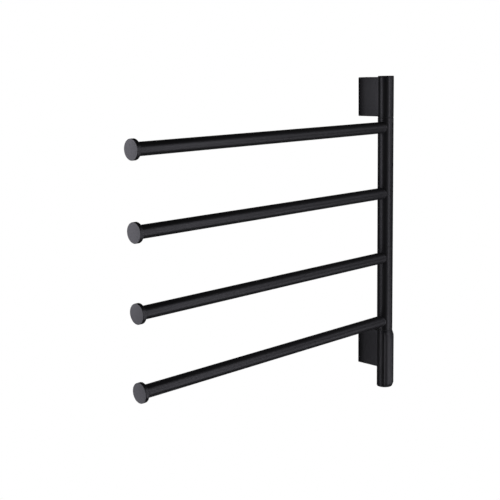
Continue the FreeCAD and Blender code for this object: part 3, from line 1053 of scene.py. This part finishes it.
@dataclass
class ControlCover:
    """Raised touch cover on the front of the fixed lower post, bevelled all round."""

    post_radius: float
    node: str = "control_cover"
    seat_gap: float = 0.00005
    lip: float = 0.0006
    foot_lip: float = 0.0002
    top_bevel: float = 0.006
    bottom_bevel: float = 0.0055
    half_angle: float = 56.0
    side_bevel_angle: float = 12.0
    crease: float = 0.0004
    face_inset: float = 0.00001
    columns: int = 112
    bevel_rows: int = 14
    face_rows: int = 40
    seat: float = field(init=False)
    brim: float = field(init=False)
    face: float = field(init=False)
    low: float = field(init=False)
    high: float = field(init=False)

    def __post_init__(self) -> None:
        """Measure the cover: radii of its seat, its brim and its face, and its two ends."""
        self.seat = self.post_radius + self.seat_gap
        self.brim = self.seat + self.lip
        self.face = Gauge.radii(self.node, POST_FOOT, UP)[1] - self.face_inset
        self.low, self.high = Gauge.span(self.node, Axis.POST)

    def build(self) -> None:
        """Build the cover as a closed shell: its face, its rim and its seat on the post."""
        skin = Skin()
        heights = self.heights()
        outer = [skin.row(self.strip(height, partial(self.relief, height))) for height in heights]
        inner = [skin.row(self.strip(height, steady(self.seat))) for height in heights]
        for rows in (outer, inner):
            skin.chain(rows, closed=False)
        for end in (0, -1):
            skin.bridge(outer[end], inner[end], closed=False)
        for side in (0, -1):
            skin.bridge([row[side] for row in outer], [row[side] for row in inner], closed=False)
        skin.piece("control_cover_shell", FINISHES.cover, Body.WALL, self.node)

    def heights(self) -> list[float]:
        """Space the rows, closer together on the bevels and their creases.

        Returns:
            The height of each row, from the foot up.
        """
        face_low = self.low + self.bottom_bevel + self.crease
        face_high = self.high - self.top_bevel - self.crease
        breaks = (self.low, face_low, face_high, self.high)
        counts = (self.bevel_rows, self.face_rows, self.bevel_rows)
        rows = [self.low]
        for start, end, count in zip(breaks, breaks[1:], counts):
            rows.extend(start + (end - start) * (i + 1) / count for i in range(count))
        return rows

    def strip(self, height: float, reach: Reach) -> list[Vector]:
        """Open row of points round the front of the post.

        Args:
            height: height of the row.
            reach: distance from the post's axis, for a turn from the front.

        Returns:
            The points, from one side to the other.
        """
        points = []
        for i in range(self.columns + 1):
            turn = math.radians(self.half_angle * (2 * i / self.columns - 1))
            away = reach(turn)
            x = POST_FOOT.x + away * math.sin(turn)
            y = POST_FOOT.y - away * math.cos(turn)
            points.append(Vector((x, y, height)))
        return points

    def relief(self, height: float, turn: float) -> float:
        """Distance of the cover's outside from the post's axis.

        Args:
            height: height of the place.
            turn: its turn from the front.

        Returns:
            The least of the face and the four bevels, rounded where they meet.
        """
        foot = self.seat + self.foot_lip
        foot_bevel = foot + (self.face - foot) * (height - self.low) / self.bottom_bevel
        head_bevel = self.brim + (self.face - self.brim) * (self.high - height) / self.top_bevel
        reach = self.face
        for bevel in (foot_bevel, head_bevel, self.side_bevel(abs(turn))):
            reach = self.soft_least(reach, bevel)
        return max(reach, foot)

    def side_bevel(self, turn: float) -> float:
        """Distance from the post's axis to the flat bevel along a long edge.

        Args:
            turn: turn from the front, of either side.

        Returns:
            The distance, at most twice that of the face.
        """
        start = self.spoke(math.radians(self.half_angle), self.brim)
        slope = self.spoke(math.radians(self.half_angle - self.side_bevel_angle), self.face) - start
        normal = Vector((slope.y, -slope.x)).normalized()
        height = normal.dot(start)
        return height / max(normal.dot(self.spoke(turn)), height / (2 * self.face))

    @staticmethod
    def spoke(turn: float, length: float = 1.0) -> Vector:
        """Point across and in front of the post's axis, at a turn from the front."""
        return Vector((length * math.sin(turn), length * math.cos(turn)))

    def soft_least(self, first: float, second: float) -> float:
        """The lesser of two lengths, blended over the crease where they are close."""
        near = max(self.crease - abs(first - second), 0.0) / self.crease
        return min(first, second) - near ** 2 * self.crease / 4


@dataclass
class InnerWorks:
    """CAD nodes that stay as they are and only take their finish."""

    parts: list[dict[str, str]] = field(default_factory=lambda: frame["record"]["subparts"])

    def dress(self) -> None:
        """Give each node that still shows the finish of its slot."""
        for part in self.parts:
            node = frame["nodes"][part["node"]]
            if node.hide_render:
                continue
            finish = FINISHES.of_slot(Slot(part["material_slot"]))
            node.data.materials.clear()
            node.data.materials.append(finish.material())
            LOG.info("%s: dressed in %s", part["node"], finish.label)


@dataclass(frozen=True)
class Softbox:
    """A soft rectangular lamp that is seen only as light and reflections."""

    label: str
    place: Spot
    aim: Spot
    size: Pair
    radiance: float
    tint: Colour = (1.0, 0.98, 1.1)

    def hang(self) -> None:
        """Hang the lamp and point it."""
        lamp = bpy.data.lights.new(self.label, "AREA")
        lamp.shape = "RECTANGLE"
        lamp.size, lamp.size_y = self.size
        lamp.energy = self.radiance * math.pi * self.size[0] * self.size[1]
        lamp.color = self.tint
        made = put(self.label, lamp)
        made.location = self.place
        made.rotation_mode = "QUATERNION"
        made.rotation_quaternion = (Vector(self.aim) - Vector(self.place)).to_track_quat("-Z", "Y")
        made.visible_camera = False
        LOG.info("lamp %s", self.label)


@dataclass
class Studio:
    """Plain white studio: floor, background, lamps and camera."""

    floor_height: float = -1.6
    floor_radius: float = 0.6
    floor_colour: Colour = (0.82, 0.82, 0.82)
    floor_patch: float = 0.2
    floor_patch_gain: float = 0.99
    floor_roughness: float = 0.9
    floor_white: float = 0.97
    fill: Colour = (0.03, 0.03, 0.03)
    backdrop_cosine: float = 0.975
    eye: Spot = (-1.32026, -1.06831, 0.46966)
    pan: float = 44.6772
    tilt: float = 9.4418
    roll: float = 0.9565
    focal_pixels: float = 1023.15
    rise: float = -0.03
    image_pixels: float = 500.0
    sensor_millimetres: float = 36.0
    lamps: tuple[Softbox, ...] = (
        Softbox("left_high", (-0.95, 0.5, 0.52), (-0.5, -0.05, 0.35), (0.3, 0.35), 2.68),
        Softbox("left_middle", (-0.95, 0.5, 0.17), (-0.5, -0.05, 0.2), (0.3, 0.35), 1.48),
        Softbox("left_low", (-0.95, 0.5, -0.53), (-0.5, -0.05, 0.0), (0.3, 0.35), 1.91),
        Softbox("left_near", (-0.69, 0.17, 0.12), (-0.52, -0.05, 0.2), (0.18, 0.8), 1.48),
        Softbox("front_high", (0.05, -0.9, 0.5), RAIL_MIDDLE, (0.3, 0.5), 2.33),
        Softbox("front_middle", (0.05, -0.95, 0.1), RAIL_MIDDLE, (0.3, 0.4), 1.81),
        Softbox("front_low", (0.05, -0.9, -0.4), RAIL_MIDDLE, (0.3, 0.6), 2.38),
        Softbox("right_high", (0.65, -0.8, 0.5), RAIL_MIDDLE, (0.3, 0.5), 1.15),
        Softbox("right_low", (0.65, -0.8, -0.4), RAIL_MIDDLE, (0.3, 0.6), 1.44),
    )

    def build(self) -> None:
        """Build the whole studio."""
        bpy.context.scene.view_settings.view_transform = "Standard"
        self.lay_floor()
        self.set_world()
        for lamp in self.lamps:
            lamp.hang()
        self.set_camera()

    def view_axis(self) -> Vector:
        """Unit vector from the camera into the picture."""
        pan, tilt = math.radians(self.pan), math.radians(self.tilt)
        return Vector((math.sin(pan) * math.cos(tilt), math.cos(pan) * math.cos(tilt), -math.sin(tilt)))

    def set_camera(self) -> None:
        """Place the camera at the picture's angle."""
        pan, roll = math.radians(self.pan), math.radians(self.roll)
        ahead = self.view_axis()
        level = Vector((math.cos(pan), -math.sin(pan), 0.0))
        down = ahead.cross(level)
        right = level * math.cos(roll) + down * math.sin(roll)
        lower = down * math.cos(roll) - level * math.sin(roll)
        facing = Matrix((right, -lower, -ahead)).transposed()
        data = bpy.data.cameras.new("picture_camera")
        data.sensor_width = self.sensor_millimetres
        data.lens = self.focal_pixels * self.sensor_millimetres / self.image_pixels
        data.shift_y = self.rise
        camera = put("picture_camera", data)
        camera.matrix_world = Matrix.Translation(Vector(self.eye)) @ facing.to_4x4()
        bpy.context.scene.camera = camera

    def lay_floor(self) -> None:
        """Lay a pale round floor that reads as white and keeps a shadow."""
        skin = Skin()
        middle = Vector(((CAD_BOX[0].x + CAD_BOX[1].x) / 2, 0.0, self.floor_height))
        spokes = [Vector((math.cos(turn), math.sin(turn), 0.0)) for turn in ROUND_TURNS]
        skin.lid(skin.row(middle + spoke * self.floor_radius for spoke in spokes))
        mesh = skin.mesh("studio_floor")
        mesh.materials.append(self.floor_material())
        floor = put("studio_floor", mesh)

    def floor_material(self) -> bpy.types.Material:
        """Make the floor's paint, with the white that the camera and mirrors see added to it.

        Returns:
            The material.
        """
        board = FinishBoard("pale_floor")
        patchy = shade(self.floor_colour, self.floor_patch_gain)
        tone = board.mix(board.noise(self.floor_patch), patchy, self.floor_colour)
        board.paint(Base_Color=tone, Roughness=self.floor_roughness)
        white = opaque(shade(WHITE, self.floor_white))
        glow = board.add("ShaderNodeEmission", white, board.white_rays())
        both = board.add("ShaderNodeAddShader", board.shader.outputs["BSDF"], glow.outputs["Emission"])
        board.feed(board.tree.nodes["Material Output"].inputs["Surface"], both.outputs["Shader"])
        return board.material

    def set_world(self) -> None:
        """Set a dim even fill, white where the picture's background lies."""
        world = bpy.data.worlds.new("studio")
        bpy.context.scene.world = world
        world.use_nodes = True
        board = NodeBoard(world.node_tree)
        fill = board.tree.nodes["Background"]
        board.feed(fill.inputs["Color"], opaque(self.fill))
        white = board.add("ShaderNodeBackground", opaque(WHITE))
        ray = board.add("ShaderNodeTexCoord").outputs["Generated"]
        ahead = board.add("ShaderNodeVectorMath", ray, self.view_axis())
        ahead.operation = "DOT_PRODUCT"
        behind = board.calc(Operation.GREATER_THAN, ahead.outputs["Value"], self.backdrop_cosine)
        mirrored = board.calc(Operation.MULTIPLY, behind, board.white_rays())
        seen = board.add("ShaderNodeLightPath").outputs["Is Camera Ray"]
        share = board.calc(Operation.MAXIMUM, seen, mirrored)
        shades = (fill.outputs["Background"], white.outputs["Background"])
        sky = board.add("ShaderNodeMixShader", share, *shades)
        board.feed(board.tree.nodes["World Output"].inputs["Surface"], sky.outputs["Shader"])


def main() -> None:
    """Build the rail's looks piece by piece, then the studio."""
    logging.basicConfig(level=logging.INFO, format="%(name)s: %(message)s")
    post = SwivelPost()
    post.build()
    FixedPostEnd("upper_knuckle", "top_cap", UP, post.radius).build()
    FixedPostEnd("control_housing", "bottom_cap", -UP, post.radius).build()
    for number in range(1, ARM_COUNT + 1):
        TowelArm(number, post.radius).build()
    for node in ("upper_bracket", "lower_bracket"):
        WallBracket(node, post.radius).build()
    ControlCover(post.radius).build()
    InnerWorks().dress()
    Studio().build()


if __name__ == "__main__":
    main()
